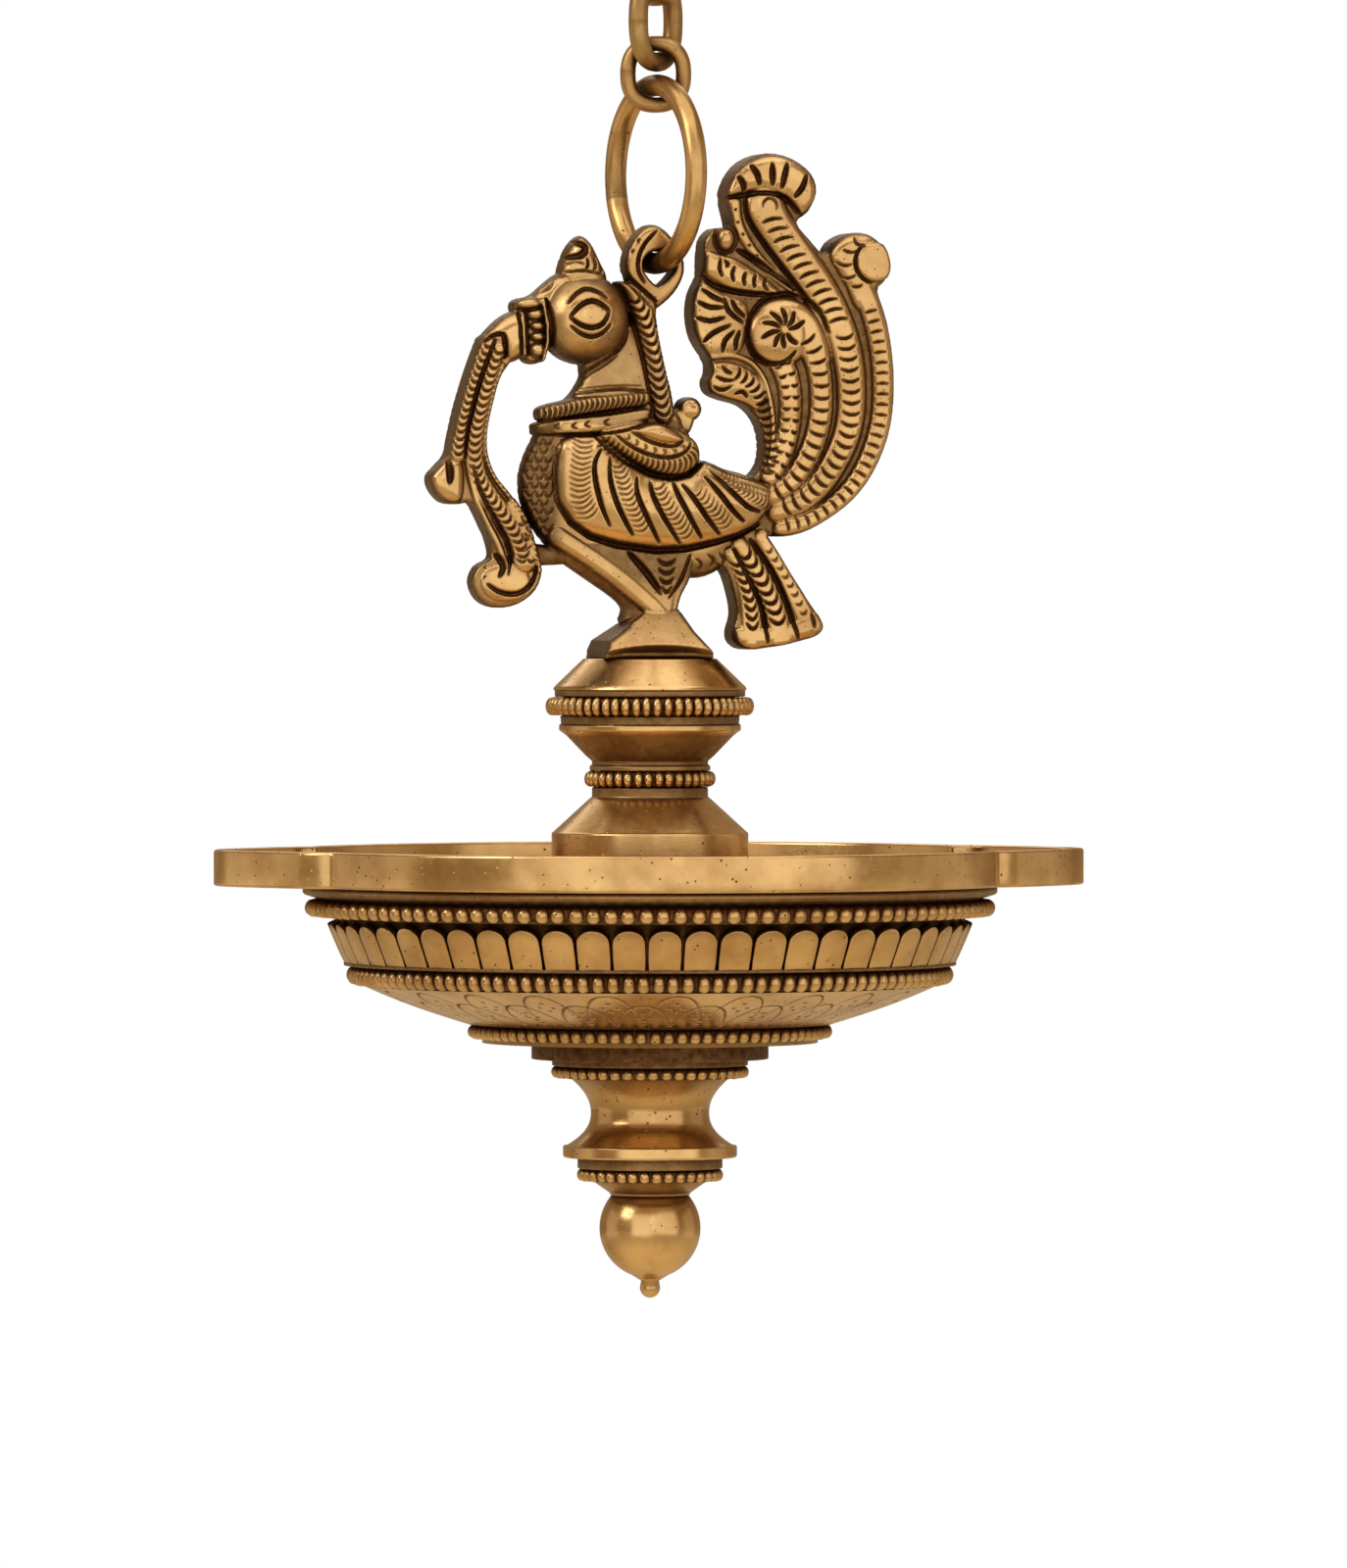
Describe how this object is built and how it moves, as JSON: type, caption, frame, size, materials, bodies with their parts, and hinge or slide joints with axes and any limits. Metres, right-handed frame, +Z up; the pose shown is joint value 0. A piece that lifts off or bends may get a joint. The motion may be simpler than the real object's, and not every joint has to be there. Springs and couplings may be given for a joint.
{
  "type": "hanging chain oil lamp",
  "caption": "Hanging brass oil lamp: chain and hook, cast bird with a tail fan on a turned stem, shallow two-spouted dish over a petalled bowl with a turned drop and ball.",
  "frame": {"origin": "centre of the hook's bore, at the middle of its thickness", "axes": "+Z up along the chain, +X along the dish's spouts towards the bird's tail, +Y along the hook's bore, away from the picture's camera"},
  "size_m": [0.223, 0.185, 0.415],
  "materials": {
    "cast_brass": "aged cast, dark in the recesses",
    "turned_brass": "aged turned, satin",
    "beaded_brass": "aged beaded, satin",
    "chain_brass": "drawn wire, worn",
    "fixing_steel": "plain",
    "seal_leather": "oiled"
  },
  "bodies": {
    "hook": {"ceiling_hook": "chain_brass"},
    "ring_1": {"chain_ring_1": "chain_brass"},
    "link_1": {"chain_link_1": "chain_brass"},
    "ring_2": {"chain_ring_2": "chain_brass"},
    "link_2": {"chain_link_2": "chain_brass"},
    "ring_3": {"chain_ring_3": "chain_brass"},
    "suspension_ring": {"suspension_ring": "chain_brass"},
    "lamp": {"bird": "cast_brass", "tie_rod": "fixing_steel", "stem_cap": "turned_brass", "stem_bead_ring": "beaded_brass", "stem_neck": "turned_brass", "neck_bead_ring": "beaded_brass", "stem_foot": "turned_brass", "oil_seal": "seal_leather", "oil_dish": "turned_brass", "clamp_washer": "fixing_steel", "clamp_nut": "fixing_steel", "lotus_bowl": "turned_brass", "rim_bead_ring": "beaded_brass", "petal_bead_ring": "beaded_brass", "base_bead_ring": "beaded_brass", "drop_spool": "turned_brass", "collar_bead_ring": "beaded_brass", "drop_collar": "turned_brass", "drop_bead_ring": "beaded_brass", "ball_finial": "cast_brass"}
  },
  "joints": [
    {"name": "ring_1_swing", "type": "hinge", "parent": "hook", "child": "ring_1", "pos_m": [0, 0, -0.03185], "axis": [0.6293, 0.7771, 0], "range_deg": [-30, 30]},
    {"name": "link_1_swing", "type": "hinge", "parent": "ring_1", "child": "link_1", "pos_m": [0, 0, -0.0428], "axis": [0.7771, -0.6293, 0], "range_deg": [-30, 30]},
    {"name": "ring_2_swing", "type": "hinge", "parent": "link_1", "child": "ring_2", "pos_m": [0, 0, -0.05905], "axis": [0.6293, 0.7771, 0], "range_deg": [-30, 30]},
    {"name": "link_2_swing", "type": "hinge", "parent": "ring_2", "child": "link_2", "pos_m": [0, 0, -0.07], "axis": [0.7771, -0.6293, 0], "range_deg": [-30, 30]},
    {"name": "ring_3_swing", "type": "hinge", "parent": "link_2", "child": "ring_3", "pos_m": [0, 0, -0.08625], "axis": [0.6293, 0.7771, 0], "range_deg": [-30, 30]},
    {"name": "suspension_ring_swing", "type": "hinge", "parent": "ring_3", "child": "suspension_ring", "pos_m": [0, 0, -0.0972], "axis": [0.9877, -0.1564, 0], "range_deg": [-18, 18]},
    {"name": "lamp_swing", "type": "hinge", "parent": "suspension_ring", "child": "lamp", "pos_m": [0, 0, -0.13755], "axis": [-0.3584, 0.9336, 0], "range_deg": [-25, 25]}
  ]
}
